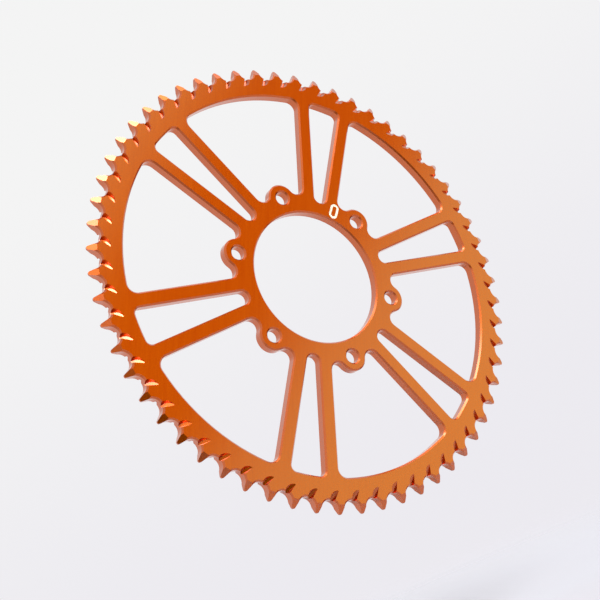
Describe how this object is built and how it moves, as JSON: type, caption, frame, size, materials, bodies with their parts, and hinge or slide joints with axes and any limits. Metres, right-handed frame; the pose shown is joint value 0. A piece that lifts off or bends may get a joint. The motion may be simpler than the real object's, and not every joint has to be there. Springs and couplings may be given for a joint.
{
  "type": "rear sprocket",
  "caption": "Thin toothed plate sprocket with a round bore, a ring of bolt lugs, paired spokes and slanted mud grooves; turns a rear wheel from a roller chain.",
  "frame": {"origin": "centre of the bore, midway through the plate's thickness", "axes": "+Y along the axle towards the wheel hub, so the outer face with the mark looks along -Y; +Z from the centre through the first bolt lug; +X to the right as seen from the outer face"},
  "size_m": [0.247, 0.0058, 0.247],
  "materials": {
    "anodised_plate": "fine brushed grain under a satin orange anodic film",
    "etched_metal": "pale matt laser-etched metal"
  },
  "bodies": {
    "root": {"sprocket_plate": "anodised_plate", "etched_mark": "etched_metal"}
  },
  "joints": []
}
